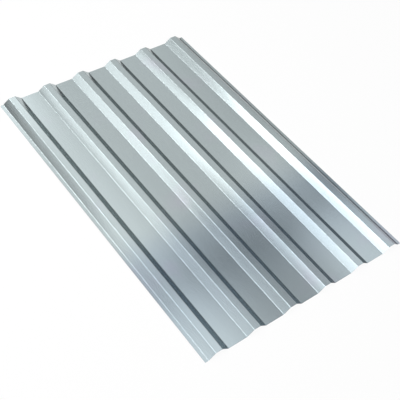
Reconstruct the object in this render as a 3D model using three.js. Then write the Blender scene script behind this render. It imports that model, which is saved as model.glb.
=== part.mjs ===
// Trapezoidal corrugated steel roofing and cladding sheet, roll-formed in one piece
// from a flat coil about 1.25 m wide.
// Six ribs stand on one side of five wide flat pans, and a narrow flat lip runs along
// each long edge. The section is the same from end to end.
//
// Millimetres, +Z up. X runs across the ribs, Y runs along them. The sheet lies on the
// undersides of its pans and lips at Z = 0, and the origin is the middle of that face.

import * as THREE from "three";

// ---- Driving dimensions ----

const SHEET_LENGTH = 1750; // along the ribs
const RIB_COUNT = 6;
const RIB_PITCH = 200; // from one rib to the next
const PROFILE_DEPTH = 27; // underside of a pan to the top of a crest
const CREST_WIDTH = 33.5; // flat top of a rib, measured fold to fold
const WEB_RUN = 34; // how far a sloping web reaches sideways, fold to fold
const LEFT_LIP_WIDTH = 18; // flat lip that the next sheet's edge rib laps over
const RIGHT_LIP_WIDTH = 15; // flat lip of the edge rib that laps over the next sheet
const STEEL_THICKNESS = 0.5;
const INSIDE_BEND_RADIUS = 5; // left by the forming rolls at every fold
const ARC_FACETS = 8; // flat facets that round each fold

// ---- Worked out from them ----

const RIB_BASE_WIDTH = CREST_WIDTH + 2 * WEB_RUN;
const RIBS_SPAN = (RIB_COUNT - 1) * RIB_PITCH + RIB_BASE_WIDTH;
const OVERALL_WIDTH = LEFT_LIP_WIDTH + RIBS_SPAN + RIGHT_LIP_WIDTH;
const HALF_THICKNESS = STEEL_THICKNESS / 2;
const CENTRE_BEND_RADIUS = INSIDE_BEND_RADIUS + HALF_THICKNESS;
const PAN_LEVEL = HALF_THICKNESS; // mid-plane of the pans and lips
const CREST_LEVEL = PROFILE_DEPTH - HALF_THICKNESS; // mid-plane of the crests

// The four sharp corners of one rib on the mid-plane of the steel, from left to right.
function ribFolds(baseStart) {
  const crestStart = baseStart + WEB_RUN;
  const crestEnd = crestStart + CREST_WIDTH;
  return [
    new THREE.Vector2(baseStart, PAN_LEVEL),
    new THREE.Vector2(crestStart, CREST_LEVEL),
    new THREE.Vector2(crestEnd, CREST_LEVEL),
    new THREE.Vector2(crestEnd + WEB_RUN, PAN_LEVEL),
  ];
}

// The whole section as a chain of straight runs on the mid-plane: the left lip's free
// edge, every rib's folds, and the right lip's free edge.
function sectionChain() {
  const leftEdge = -OVERALL_WIDTH / 2;
  const chain = [new THREE.Vector2(leftEdge, PAN_LEVEL)];
  for (let rib = 0; rib < RIB_COUNT; rib += 1) {
    chain.push(...ribFolds(leftEdge + LEFT_LIP_WIDTH + rib * RIB_PITCH));
  }
  chain.push(new THREE.Vector2(leftEdge + OVERALL_WIDTH, PAN_LEVEL));
  return chain;
}

// A fold seen from one face of the steel: the centre, radius and angles of its arc.
// side is +1 for the upper face and -1 for the lower face.
function foldArc(before, corner, after, side) {
  const arriving = corner.clone().sub(before).normalize();
  const leaving = after.clone().sub(corner).normalize();
  const turn = Math.atan2(arriving.cross(leaving), arriving.dot(leaving));
  const turnSide = Math.sign(turn); // +1 where the section turns up, to the left
  const tangentLength = CENTRE_BEND_RADIUS * Math.tan(Math.abs(turn) / 2);
  const leftOfArriving = new THREE.Vector2(-arriving.y, arriving.x);
  const centre = corner
    .clone()
    .addScaledVector(arriving, -tangentLength)
    .addScaledVector(leftOfArriving, turnSide * CENTRE_BEND_RADIUS);
  const startAngle = leftOfArriving.multiplyScalar(-turnSide).angle();
  return {
    centre,
    radius: CENTRE_BEND_RADIUS - side * turnSide * HALF_THICKNESS,
    startAngle,
    endAngle: startAngle + turn,
    clockwise: turnSide < 0,
  };
}

// The closed outline of the steel: up the left edge, along the upper face with every
// fold rounded, down the right edge, and back along the lower face.
function sectionShape() {
  const chain = sectionChain();
  const first = chain[0];
  const last = chain[chain.length - 1];
  const shape = new THREE.Shape();

  shape.moveTo(first.x, first.y - HALF_THICKNESS);
  shape.lineTo(first.x, first.y + HALF_THICKNESS);
  for (let i = 1; i < chain.length - 1; i += 1) {
    const arc = foldArc(chain[i - 1], chain[i], chain[i + 1], 1);
    shape.absarc(arc.centre.x, arc.centre.y, arc.radius, arc.startAngle, arc.endAngle, arc.clockwise);
  }
  shape.lineTo(last.x, last.y + HALF_THICKNESS);
  shape.lineTo(last.x, last.y - HALF_THICKNESS);
  for (let i = chain.length - 2; i > 0; i -= 1) {
    const arc = foldArc(chain[i - 1], chain[i], chain[i + 1], -1);
    shape.absarc(arc.centre.x, arc.centre.y, arc.radius, arc.endAngle, arc.startAngle, !arc.clockwise);
  }
  shape.closePath();
  return shape;
}

// Bright zinc-coated steel.
function coatedSteel() {
  return new THREE.MeshStandardMaterial({ color: 0xb9c1c3, metalness: 0.9, roughness: 0.35 });
}

// The section extruded along the ribs, stood up so that its own Y is the part's Z.
function corrugatedSheet() {
  const geometry = new THREE.ExtrudeGeometry(sectionShape(), {
    depth: SHEET_LENGTH,
    bevelEnabled: false,
    curveSegments: ARC_FACETS / 2, // three.js gives an arc twice this many facets
  });
  const sheet = new THREE.Mesh(geometry, coatedSteel());
  sheet.name = "corrugated_sheet";
  sheet.rotation.x = Math.PI / 2;
  sheet.position.y = SHEET_LENGTH / 2;
  return sheet;
}

const part = new THREE.Group();
part.add(corrugatedSheet());

export default part;
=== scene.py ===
"""Zinc-coated trapezoidal steel sheet: its looks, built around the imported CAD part.

The CAD solid is the sheet's exact section, extruded.  Here the same section is drawn with finer
bends, true surface normals and webs that lean out very slightly, and it carries a procedural
zinc-coating material.
Everything is in metres in the row frame: X across the ribs, Y along them, +Z up.
"""

import math

import bpy
from mathutils import Matrix, Vector


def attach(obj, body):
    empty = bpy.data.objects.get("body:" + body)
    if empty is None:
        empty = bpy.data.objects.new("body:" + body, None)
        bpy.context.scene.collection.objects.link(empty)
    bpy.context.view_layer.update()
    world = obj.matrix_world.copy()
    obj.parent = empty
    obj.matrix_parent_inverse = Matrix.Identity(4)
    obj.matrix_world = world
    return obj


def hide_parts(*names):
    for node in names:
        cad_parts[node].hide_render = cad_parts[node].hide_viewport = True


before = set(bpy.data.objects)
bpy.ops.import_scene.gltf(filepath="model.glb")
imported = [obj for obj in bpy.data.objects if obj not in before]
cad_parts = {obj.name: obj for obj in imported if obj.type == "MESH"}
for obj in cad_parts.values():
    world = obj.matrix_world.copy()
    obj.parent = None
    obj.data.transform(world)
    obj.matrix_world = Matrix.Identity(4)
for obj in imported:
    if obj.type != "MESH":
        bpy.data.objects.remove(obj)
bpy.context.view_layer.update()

# ---- The sheet, as in the CAD source ----

SHEET_LENGTH = 1.750
RIB_COUNT = 6
RIB_PITCH = 0.200
PROFILE_DEPTH = 0.027
CREST_WIDTH = 0.0335
WEB_RUN = 0.034
LEFT_LIP_WIDTH = 0.018
RIGHT_LIP_WIDTH = 0.015
STEEL_THICKNESS = 0.0005
INSIDE_BEND_RADIUS = 0.005

# ---- What is drawn more finely than in the CAD source ----

WEB_BULGE = 0.0003  # how far the middle of a web leans out, before it is rounded
WEB_ROUNDED = 0.88  # the share of the web that this rounding takes up
BEND_SEGMENTS = 10  # facets that round a fold or the middle of a web
LENGTH_SEGMENTS = 14

# The two faces, by which way each stands from the steel's mid-plane.
UPPER = 1
LOWER = -1

# A quad's corners in turn, as steps across and along the sheet, so that each face looks out.
CORNERS = {UPPER: ((0, 0), (1, 0), (1, 1), (0, 1)), LOWER: ((0, 0), (0, 1), (1, 1), (1, 0))}

# The UV map is the flat pattern, laid out without overlaps: the two faces side by side, the slit
# edges in strips beside them and the cut ends in strips below them.
MAP_GAP = 0.004
MAP_STRIP = 0.012
MAP_FACE_LOW = 2 * MAP_STRIP + 3 * MAP_GAP
MAP_FACE_HEIGHT = 1 - MAP_GAP - MAP_FACE_LOW
MAP_FACE_WIDTH = (1 - 2 * MAP_STRIP - 5 * MAP_GAP) / 2

# ---- Materials ----

GREEN_GREY = (0.63, 0.72, 0.735, 1)
LILAC_GREY = (0.655, 0.70, 0.755, 1)
EDGE_TINT = (0.64, 0.62, 0.615, 1)  # what the metal keeps of a grazing reflection
CUT_STEEL = (0.36, 0.37, 0.39, 1)

ROUGHNESS = 0.21
CUT_ROUGHNESS = 0.45
SPANGLE_ROUGHNESS = 0.02
MOTTLE_ROUGHNESS = 0.012

# How large each kind of detail is across X, Y and Z, in metres.
CLOUD_SIZE = (0.22, 0.30, 0.22)
MOTTLE_SIZE = (0.035, 0.12, 0.035)
STREAK_SIZE = (0.0025, 0.9, 0.0025)
SPANGLE_SIZE = 0.0035
GRAIN_SIZE = (0.004, 0.006, 0.004)
WAVE_SIZE = (0.18, 0.32, 0.18)

CLOUD_EDGE = (0.55, 0.75)  # the noise at which a lilac cloud begins, and at which it is full

# How much each changes the tone, as a share.
SPANGLE_TONE = 0.05
STREAK_TONE = 0.03
MOTTLE_TONE = 0.02

# How high each stands, in metres.
GRAIN_HEIGHT = 0.0000005
STREAK_HEIGHT = 0.0000005
WAVE_HEIGHT = 0.00012

# Painted shade: a darker, bluer band painted into the coating's colour across the sheet,
# by its places along Y from the far end to the near one.
PAINTED_SHADE_TINT = (0.765, 0.80, 0.87, 1)
BAND_STARTS = -0.14
BAND_FULL = -0.39
BAND_FADES = -0.52
BAND_FADED = -0.90  # down to BAND_LEFT, just past the near end
BAND_LEFT = 0.55
BAND_WANDER = 0.06  # the range within which the noise moves it along Y
BAND_WANDER_SIZE = (0.25, 0.25, 0.25)

# How much a normal must point along the sheet, or across it, to belong to a cut face.
CUT_END_NORMAL = 0.5
SLIT_EDGE_NORMAL = 0.9

# ---- The camera, solved from the sheet's fold lines and ends in the photograph ----

CAMERA_POSITION = (-1.74736, -1.98312, 2.82028)
CAMERA_TARGET = (-0.07244, -0.16914, 0.0)
CAMERA_ROLL = math.radians(8.316)
CAMERA_LENS = 71.583  # mm, on Blender's 36 mm sensor
CAMERA_CLIP = (0.05, 100)

# ---- The studio ----

FLOOR_COLOR = (0.95, 0.95, 0.95, 1)
FLOOR_WHITE = 1.0  # the emission that shows as white
FLOOR_WHITE_SHARE = 0.92
FLOOR_SIZE = 400

# The room's brightness: near the floor, overhead, and what the brightest of three sides adds:
# the right wall, the side behind the camera and the side beyond the sheet's far end.
ROOM_COLOR = (1, 1, 1, 1)
ROOM_DARK = 0.02
ROOM_CEILING = 0.12
ROOM_RIGHT = 0.36
ROOM_BEHIND = 0.8
ROOM_FAR = 0.6

# Where these come and go, as parts of a direction along one axis.
CEILING_FADE = (0.2, 0.4)  # Z
RIGHT_WALL_FOOT = (0.22, 0.32)  # Z
RIGHT_WALL_TOP = (0.55, 0.65)  # Z
RIGHT_FADE = (0.2, 0.6)  # X
BEHIND_FADE = (-0.8, 0.1)  # Y
FAR_FADE = (0.75, 0.92)  # Y

PANEL_HEIGHT = 2.6
PANEL_STEP = 0.004  # each panel hangs this much above the one before it in the list

# How far the panels reach in all.
PANELS_LEFT = -5.0
PANELS_RIGHT = 3.8
PANELS_NEAR = -1.5
PANELS_FAR = 4.6

# Each panel's name, its reach along X and along Y, and its radiance, where 1 is white.  In the
# camera's view the rising webs mostly reflect the left ones, the folds those overhead, and the
# pans and crests the right ones.  The first layout came out of a program that fitted the
# reflections in the photograph.  It was then changed, and some of its edges are left.
PANELS = (
    ("near_left", (PANELS_LEFT, -1.2), (PANELS_NEAR, 1.45), 0.31),
    ("whole_left", (PANELS_LEFT, -1.2), (1.6, PANELS_FAR), 0.30),
    ("far_left", (PANELS_LEFT, -3.4), (1.8, 2.75), 0.62),
    ("near_far_left", (PANELS_LEFT, -3.7), (PANELS_NEAR, 1.45), 0.80),
    ("left_strip", (-3.4, -3.1), (-0.3, PANELS_FAR), 0.98),
    ("back_left", (-3.25, -1.8), (2.1, PANELS_FAR), 0.84),
    ("overhead", (-2.3, -0.45), (1.0, 2.4), 1.25),
    ("near_overhead", (-2.3, -0.45), (PANELS_NEAR, 0.95), 1.1),
    ("fold_strip", (-1.0, -0.5), (1.9, PANELS_FAR), 4.2),
    ("near_fold_strip", (-1.2, -0.87), (PANELS_NEAR, 1.9), 4.8),
    ("gap_fill", (-0.4, 0.3), (PANELS_NEAR, 0.5), 0.3),
    ("right_strip", (0.3, 0.9), (PANELS_NEAR, PANELS_FAR), 0.48),
    ("far_strip", (0.2, 0.75), (3.0, PANELS_FAR), 0.5),
    ("near_right", (0.2, PANELS_RIGHT), (-1.45, 0.78), 0.29),
    ("near_strip", (0.45, 1.1), (PANELS_NEAR, 0.75), 0.28),
    ("right_core", (2.05, 2.75), (PANELS_NEAR, 0.9), 0.66),
    ("middle_right", (2.0, 2.7), (1.04, 1.8), 0.20),
    ("back_right", (0.5, 2.8), (1.05, PANELS_FAR), 0.49),
)


# ---- The section ----


def rib_folds(base_start):
    """One rib's corners on the steel's mid-plane, left to right: (corner, bend radius).

    Each web leans out in its middle by a fraction of a millimetre, as roll-formed webs may.
    """
    half = STEEL_THICKNESS / 2
    bend = INSIDE_BEND_RADIUS + half
    crest_start = base_start + WEB_RUN
    crest_end = crest_start + CREST_WIDTH
    foot = Vector((base_start, half))
    top = Vector((crest_start, PROFILE_DEPTH - half))
    end = Vector((crest_end, top.y))
    far_foot = Vector((crest_end + WEB_RUN, half))
    return [
        (foot, bend),
        web_middle(foot, top),
        (top, bend),
        (end, bend),
        web_middle(end, far_foot),
        (far_foot, bend),
    ]


def web_middle(start, end):
    """The slight corner in the middle of a web, and the large radius that rounds it."""
    run = end - start
    outward = Vector((-run.y, run.x)).normalized()
    lean = math.atan2(WEB_BULGE, run.length / 2)
    radius = WEB_ROUNDED * run.length / 2 / math.tan(lean)
    return ((start + end) / 2 + outward * WEB_BULGE, radius)


def section_chain():
    """The section's corners on the mid-plane, from the left edge to the right one."""
    half = STEEL_THICKNESS / 2
    rib_base = CREST_WIDTH + 2 * WEB_RUN
    width = LEFT_LIP_WIDTH + (RIB_COUNT - 1) * RIB_PITCH + rib_base + RIGHT_LIP_WIDTH
    chain = [(Vector((-width / 2, half)), 0)]
    for rib in range(RIB_COUNT):
        chain += rib_folds(-width / 2 + LEFT_LIP_WIDTH + rib * RIB_PITCH)
    chain.append((Vector((width / 2, half)), 0))
    return chain


def rounded_corner(before, corner, after, radius):
    """The arc that rounds a corner, as (point, unit normal) pairs."""
    arriving = (corner - before).normalized()
    leaving = (after - corner).normalized()
    turn = math.atan2(arriving.cross(leaving), arriving.dot(leaving))
    left = Vector((-arriving.y, arriving.x))
    cut_back = arriving * radius * math.tan(abs(turn) / 2)
    centre = corner - cut_back + left * math.copysign(radius, turn)
    arc = []
    for step in range(BEND_SEGMENTS + 1):
        normal = Matrix.Rotation(turn * step / BEND_SEGMENTS, 2) @ left
        arc.append((centre - normal * math.copysign(radius, turn), normal))
    return arc


def section_stations():
    """The mid-plane line with every corner rounded: (point, unit normal, share of its length)."""
    chain = section_chain()
    straight_up = Vector((0, 1))
    line = [(chain[0][0], straight_up)]
    for (before, _), (corner, radius), (after, _) in zip(chain, chain[1:], chain[2:]):
        line += rounded_corner(before, corner, after, radius)
    line.append((chain[-1][0], straight_up))
    along = [0.0]
    for (point, _), (following, _) in zip(line, line[1:]):
        along.append(along[-1] + (following - point).length)
    return [(point, normal, place / along[-1]) for (point, normal), place in zip(line, along)]


# ---- The mesh ----


def flat_map(side, u, v):
    """Where a point of the upper or lower face lies on the UV map."""
    left = MAP_GAP + (side == LOWER) * (MAP_FACE_WIDTH + MAP_GAP)
    return (left + u * MAP_FACE_WIDTH, MAP_FACE_LOW + v * MAP_FACE_HEIGHT)


def edge_map(right, t, v):
    """Where a point of the left or right slit edge lies on the UV map."""
    left = 1 - (2 - right) * (MAP_STRIP + MAP_GAP)
    return (left + t * MAP_STRIP, MAP_FACE_LOW + v * MAP_FACE_HEIGHT)


def end_map(far, u, t):
    """Where a point of the near or far cut end lies on the UV map."""
    low = MAP_GAP + far * (MAP_STRIP + MAP_GAP)
    return (MAP_GAP + u * (1 - 2 * MAP_GAP), low + t * MAP_STRIP)


def sheet_vertices(stations):
    """The points of the upper face and then of the lower one, row by row along the sheet."""
    half = STEEL_THICKNESS / 2
    vertices = []
    for side in (UPPER, LOWER):
        for row in range(LENGTH_SEGMENTS + 1):
            y = -SHEET_LENGTH / 2 + SHEET_LENGTH * row / LENGTH_SEGMENTS
            for point, normal, _ in stations:
                surface = point + normal * half * side
                vertices.append((surface.x, y, surface.y))
    return vertices


def vertex_at(stations, side, row, station):
    """A vertex's number in the list that sheet_vertices makes."""
    before = 0 if side == UPPER else (LENGTH_SEGMENTS + 1) * len(stations)
    return before + row * len(stations) + station


def face_quad(stations, side, row, station):
    """One quad of the upper or lower face: (vertex numbers, normals, UV places)."""
    corners, normals, places = [], [], []
    for across, along in CORNERS[side]:
        _, normal, u = stations[station + across]
        corners.append(vertex_at(stations, side, row + along, station + across))
        normals.append((side * normal.x, 0, side * normal.y))
        places.append(flat_map(side, u, (row + along) / LENGTH_SEGMENTS))
    return corners, normals, places


def edge_quad(stations, right, row):
    """One quad of the left or right slit edge: (vertex numbers, normals, UV places)."""
    station = len(stations) - 1 if right else 0
    corners, places = [], []
    for side, along in ((LOWER, 0), (UPPER, 0), (UPPER, 1), (LOWER, 1)):
        corners.append(vertex_at(stations, side, row + along, station))
        places.append(edge_map(right, side == UPPER, (row + along) / LENGTH_SEGMENTS))
    return turned_out(corners, places, (1 if right else -1, 0, 0), right)


def end_quad(stations, far, station):
    """One quad of the near or far cut end: (vertex numbers, normals, UV places)."""
    row = LENGTH_SEGMENTS if far else 0
    corners, places = [], []
    for side, across in ((LOWER, 0), (LOWER, 1), (UPPER, 1), (UPPER, 0)):
        corners.append(vertex_at(stations, side, row, station + across))
        places.append(end_map(far, stations[station + across][2], side == UPPER))
    return turned_out(corners, places, (0, 1 if far else -1, 0), far)


def turned_out(corners, places, normal, reverse):
    """A flat quad, with its corners in reverse where it would otherwise look inwards."""
    step = -1 if reverse else 1
    return corners[::step], [normal] * len(corners), places[::step]


def sheet_quads(stations):
    """Every quad of the closed sheet: its two faces, its slit edges and its cut ends."""
    quads = []
    for row in range(LENGTH_SEGMENTS):
        for station in range(len(stations) - 1):
            quads += [face_quad(stations, side, row, station) for side in (UPPER, LOWER)]
        quads += [edge_quad(stations, right, row) for right in (False, True)]
    for far in (False, True):
        quads += [end_quad(stations, far, station) for station in range(len(stations) - 1)]
    return quads


def joined(lists):
    """The items of several lists, in one."""
    return [item for items in lists for item in items]


def build_sheet(name, material):
    """The sheet as one closed mesh, with the normals of the true surface."""
    stations = section_stations()
    faces, normals, places = zip(*sheet_quads(stations))
    mesh = bpy.data.meshes.new(name)
    mesh.from_pydata(sheet_vertices(stations), [], faces)
    mesh.materials.append(material)
    layer = mesh.uv_layers.new(name="OFBake")
    for corner, place in zip(layer.data, joined(places)):
        corner.uv = place
    mesh.polygons.foreach_set("use_smooth", [True] * len(mesh.polygons))
    mesh.normals_split_custom_set(joined(normals))
    mesh.update()
    sheet = bpy.data.objects.new(name, mesh)
    bpy.context.scene.collection.objects.link(sheet)
    return sheet


# ---- Shader nodes ----


def math_node(tree, operation, *values):
    """A Math node's result; each value is a number or a socket."""
    node = tree.nodes.new("ShaderNodeMath")
    node.operation = operation
    for socket, value in zip(node.inputs, values):
        if isinstance(value, (int, float)):
            socket.default_value = value
        else:
            tree.links.new(value, socket)
    return node.outputs[0]


def split_axes(tree, vector):
    """A vector's parts, as sockets named X, Y and Z."""
    node = tree.nodes.new("ShaderNodeSeparateXYZ")
    tree.links.new(vector, node.inputs[0])
    return node.outputs


def texture_noise(tree, place, size, detail=2.0, seed=0.0):
    """Noise about 0.5, with features of the given size in metres across X, Y and Z."""
    scaled = tree.nodes.new("ShaderNodeVectorMath")
    scaled.operation = "DIVIDE"
    tree.links.new(place, scaled.inputs[0])
    scaled.inputs[1].default_value = size
    noise = tree.nodes.new("ShaderNodeTexNoise")
    noise.noise_dimensions = "4D"
    tree.links.new(scaled.outputs[0], noise.inputs["Vector"])
    noise.inputs["W"].default_value = seed
    noise.inputs["Scale"].default_value = 1.0
    noise.inputs["Detail"].default_value = detail
    return noise.outputs[0]


def soft_step(tree, value, low, high, start=0.0, end=1.0):
    """Goes softly from start, where value is at low, to end, where it is at high."""
    node = tree.nodes.new("ShaderNodeMapRange")
    node.interpolation_type = "SMOOTHSTEP"
    tree.links.new(value, node.inputs["Value"])
    for name, number in (("From Min", low), ("From Max", high), ("To Min", start), ("To Max", end)):
        node.inputs[name].default_value = number
    return node.outputs["Result"]


def about_one(tree, value, share):
    """Turns a value about 0.5 into a factor about 1."""
    return math_node(tree, "MULTIPLY_ADD", value, share, 1 - share / 2)


def mixed(tree, factor, first, second, blend="MIX"):
    """Two colours mixed by factor; each input is a number, a colour or a socket."""
    node = tree.nodes.new("ShaderNodeMix")
    node.data_type = "RGBA"
    node.blend_type = blend
    colour_inputs = [socket for socket in node.inputs if socket.type == "RGBA"]
    for socket, value in zip([node.inputs[0]] + colour_inputs, (factor, first, second)):
        if isinstance(value, (int, float, tuple)):
            socket.default_value = value
        else:
            tree.links.new(value, socket)
    return next(socket for socket in node.outputs if socket.type == "RGBA")


# ---- The coating ----


def spangle_cells(tree, place):
    """One random number for each crystal of the zinc."""
    cells = tree.nodes.new("ShaderNodeTexVoronoi")
    cells.inputs["Scale"].default_value = 1 / SPANGLE_SIZE
    tree.links.new(place, cells.inputs["Vector"])
    channels = tree.nodes.new("ShaderNodeSeparateColor")
    tree.links.new(cells.outputs["Color"], channels.inputs["Color"])
    return channels.outputs["Red"]


def cut_face(tree, normal):
    """1 on the sheared ends and slit edges, where no zinc covers the steel, and 0 elsewhere."""
    facing = split_axes(tree, normal)
    along = math_node(tree, "ABSOLUTE", facing["Y"])
    across = math_node(tree, "ABSOLUTE", facing["X"])
    end = math_node(tree, "GREATER_THAN", along, CUT_END_NORMAL)
    edge = math_node(tree, "GREATER_THAN", across, SLIT_EDGE_NORMAL)
    return math_node(tree, "MAXIMUM", end, edge)


def painted_shade_strength(tree, place):
    """How strong the band of painted shade is: 0 before it, 1 in its middle and BAND_LEFT after it.
    """
    noise = texture_noise(tree, place, BAND_WANDER_SIZE, seed=5.0)
    wander = math_node(tree, "SUBTRACT", noise, 0.5)
    along = math_node(tree, "MULTIPLY_ADD", wander, BAND_WANDER, split_axes(tree, place)["Y"])
    rise = soft_step(tree, along, BAND_FULL, BAND_STARTS, 1.0, 0.0)
    fall = soft_step(tree, along, BAND_FADED, BAND_FADES, BAND_LEFT, 1.0)
    return math_node(tree, "MULTIPLY", rise, fall)


def coating_colour(tree, place, mottle, streaks, spangle):
    """Green-grey zinc with lilac clouds and a band of painted shade, under the finer tones."""
    clouds = texture_noise(tree, place, CLOUD_SIZE, seed=1.0)
    colour = mixed(tree, soft_step(tree, clouds, *CLOUD_EDGE), GREEN_GREY, LILAC_GREY)
    # Painted shade: the coating's colour darkened and made bluer where the band lies.
    painted_shade_colour = mixed(tree, 1.0, colour, PAINTED_SHADE_TINT, "MULTIPLY")
    colour = mixed(tree, painted_shade_strength(tree, place), colour, painted_shade_colour)
    tone = about_one(tree, spangle, SPANGLE_TONE)
    tone = math_node(tree, "MULTIPLY", tone, about_one(tree, streaks, STREAK_TONE))
    tone = math_node(tree, "MULTIPLY", tone, about_one(tree, mottle, MOTTLE_TONE))
    toned = tree.nodes.new("ShaderNodeVectorMath")
    toned.operation = "SCALE"
    tree.links.new(colour, toned.inputs[0])
    tree.links.new(tone, toned.inputs["Scale"])
    return toned.outputs[0]


def surface_roughness(tree, mottle, spangle, cut):
    """The zinc's roughness, a little uneven, and the bare steel's on the cuts."""
    least = ROUGHNESS - SPANGLE_ROUGHNESS / 2
    rough = math_node(tree, "MULTIPLY_ADD", spangle, SPANGLE_ROUGHNESS, least)
    uneven = math_node(tree, "MULTIPLY_ADD", mottle, MOTTLE_ROUGHNESS, -MOTTLE_ROUGHNESS / 2)
    rough = math_node(tree, "ADD", rough, uneven)
    bare = math_node(tree, "MULTIPLY", cut, CUT_ROUGHNESS - ROUGHNESS)
    return math_node(tree, "ADD", rough, bare)


def surface_relief(tree, place, streaks):
    """The normal of the waves, the grain and the streaks."""
    waves = texture_noise(tree, place, WAVE_SIZE, detail=0.0, seed=6.0)
    grain = texture_noise(tree, place, GRAIN_SIZE, seed=4.0)
    height = math_node(tree, "MULTIPLY", waves, WAVE_HEIGHT)
    height = math_node(tree, "MULTIPLY_ADD", grain, GRAIN_HEIGHT, height)
    height = math_node(tree, "MULTIPLY_ADD", streaks, STREAK_HEIGHT, height)
    bump = tree.nodes.new("ShaderNodeBump")
    bump.inputs["Distance"].default_value = 1.0
    tree.links.new(height, bump.inputs["Height"])
    return bump.outputs["Normal"]


def coating_material():
    """Satin zinc coating, with the bare steel of the cuts in the same material."""
    material = bpy.data.materials.new("zinc_coating")
    material.use_nodes = True
    tree = material.node_tree
    shader = tree.nodes["Principled BSDF"]
    shader.inputs["Metallic"].default_value = 1.0
    shader.inputs["Specular Tint"].default_value = EDGE_TINT
    coordinates = tree.nodes.new("ShaderNodeTexCoord")
    place = coordinates.outputs["Object"]
    mottle = texture_noise(tree, place, MOTTLE_SIZE, detail=3.0, seed=2.0)
    streaks = texture_noise(tree, place, STREAK_SIZE, detail=3.0, seed=3.0)
    spangle = spangle_cells(tree, place)
    cut = cut_face(tree, coordinates.outputs["Normal"])

    colour = coating_colour(tree, place, mottle, streaks, spangle)
    tree.links.new(mixed(tree, cut, colour, CUT_STEEL), shader.inputs["Base Color"])
    roughness = surface_roughness(tree, mottle, spangle, cut)
    tree.links.new(roughness, shader.inputs["Roughness"])
    tree.links.new(surface_relief(tree, place, streaks), shader.inputs["Normal"])
    return material


# ---- The floor, the room, the panels and the camera ----


def floor_material():
    """A pale floor that takes shadows, and is mostly plain white as seen and in reflections."""
    material = bpy.data.materials.new("pale_floor")
    material.use_nodes = True
    tree = material.node_tree
    tree.nodes.clear()
    output = tree.nodes.new("ShaderNodeOutputMaterial")
    lit = tree.nodes.new("ShaderNodeBsdfDiffuse")
    lit.inputs["Color"].default_value = FLOOR_COLOR
    white = tree.nodes.new("ShaderNodeEmission")
    white.inputs["Strength"].default_value = FLOOR_WHITE
    share = tree.nodes.new("ShaderNodeMixShader")
    rays = tree.nodes.new("ShaderNodeLightPath").outputs
    seen = math_node(tree, "MAXIMUM", rays["Is Camera Ray"], rays["Is Glossy Ray"])
    seen = math_node(tree, "MAXIMUM", seen, rays["Is Transmission Ray"])
    factor = math_node(tree, "MULTIPLY", seen, FLOOR_WHITE_SHARE)
    tree.links.new(factor, share.inputs["Fac"])
    tree.links.new(lit.outputs["BSDF"], share.inputs[1])
    tree.links.new(white.outputs["Emission"], share.inputs[2])
    tree.links.new(share.outputs["Shader"], output.inputs["Surface"])
    return material


def add_floor():
    """A plain floor under the sheet."""
    bpy.ops.mesh.primitive_plane_add(size=FLOOR_SIZE)
    floor = bpy.context.object
    floor.name = "floor"
    floor.data.materials.append(floor_material())


def right_wall(tree, axes):
    """The lighter band of the room on the right, between its foot and its top."""
    foot = soft_step(tree, axes["Z"], *RIGHT_WALL_FOOT, 0.0, ROOM_RIGHT)
    top = soft_step(tree, axes["Z"], *RIGHT_WALL_TOP, 1.0, 0.0)
    wall = math_node(tree, "MULTIPLY", foot, top)
    return math_node(tree, "MULTIPLY", wall, soft_step(tree, axes["X"], *RIGHT_FADE))


def add_world():
    """A dim room, lighter overhead, on the right, behind the camera and beyond the far end."""
    world = bpy.data.worlds.new("studio")
    world.use_nodes = True
    tree = world.node_tree
    background = tree.nodes["Background"]
    background.inputs["Color"].default_value = ROOM_COLOR
    direction = tree.nodes.new("ShaderNodeTexCoord").outputs["Generated"]
    axes = split_axes(tree, direction)
    overhead = soft_step(tree, axes["Z"], *CEILING_FADE, ROOM_DARK, ROOM_CEILING)
    behind = soft_step(tree, axes["Y"], *BEHIND_FADE, ROOM_BEHIND, 0.0)
    far = soft_step(tree, axes["Y"], *FAR_FADE, 0.0, ROOM_FAR)
    sides = math_node(tree, "MAXIMUM", right_wall(tree, axes), behind)
    sides = math_node(tree, "MAXIMUM", sides, far)
    tree.links.new(math_node(tree, "ADD", overhead, sides), background.inputs["Strength"])
    bpy.context.scene.world = world


def add_panels():
    """Soft light panels level above the sheet, facing down."""
    for index, (name, (left, right), (near, far), radiance) in enumerate(PANELS):
        data = bpy.data.lights.new(name, "AREA")
        data.shape = "RECTANGLE"
        data.size = right - left
        data.size_y = far - near
        data.energy = radiance * math.pi * data.size * data.size_y
        panel = bpy.data.objects.new(name, data)
        height = PANEL_HEIGHT + index * PANEL_STEP
        panel.location = ((left + right) / 2, (near + far) / 2, height)
        panel.visible_camera = False
        bpy.context.scene.collection.objects.link(panel)


def add_camera():
    """The camera at the photograph's viewing angle."""
    position = Vector(CAMERA_POSITION)
    back = (position - Vector(CAMERA_TARGET)).normalized()
    right = Vector((0, 0, 1)).cross(back).normalized()
    up = back.cross(right)
    turn = Matrix.Rotation(CAMERA_ROLL, 3, back)
    axes = Matrix((turn @ right, turn @ up, back)).transposed()
    data = bpy.data.cameras.new("camera")
    data.lens = CAMERA_LENS
    data.clip_start, data.clip_end = CAMERA_CLIP
    camera = bpy.data.objects.new("camera", data)
    camera.matrix_world = Matrix.Translation(position) @ axes.to_4x4()
    bpy.context.scene.collection.objects.link(camera)
    bpy.context.scene.camera = camera


sheet = build_sheet("zinc_coated_sheet", coating_material())
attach(sheet, "root")
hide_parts("corrugated_sheet")
add_floor()
add_world()
add_panels()
add_camera()
bpy.context.scene.view_settings.view_transform = "Standard"
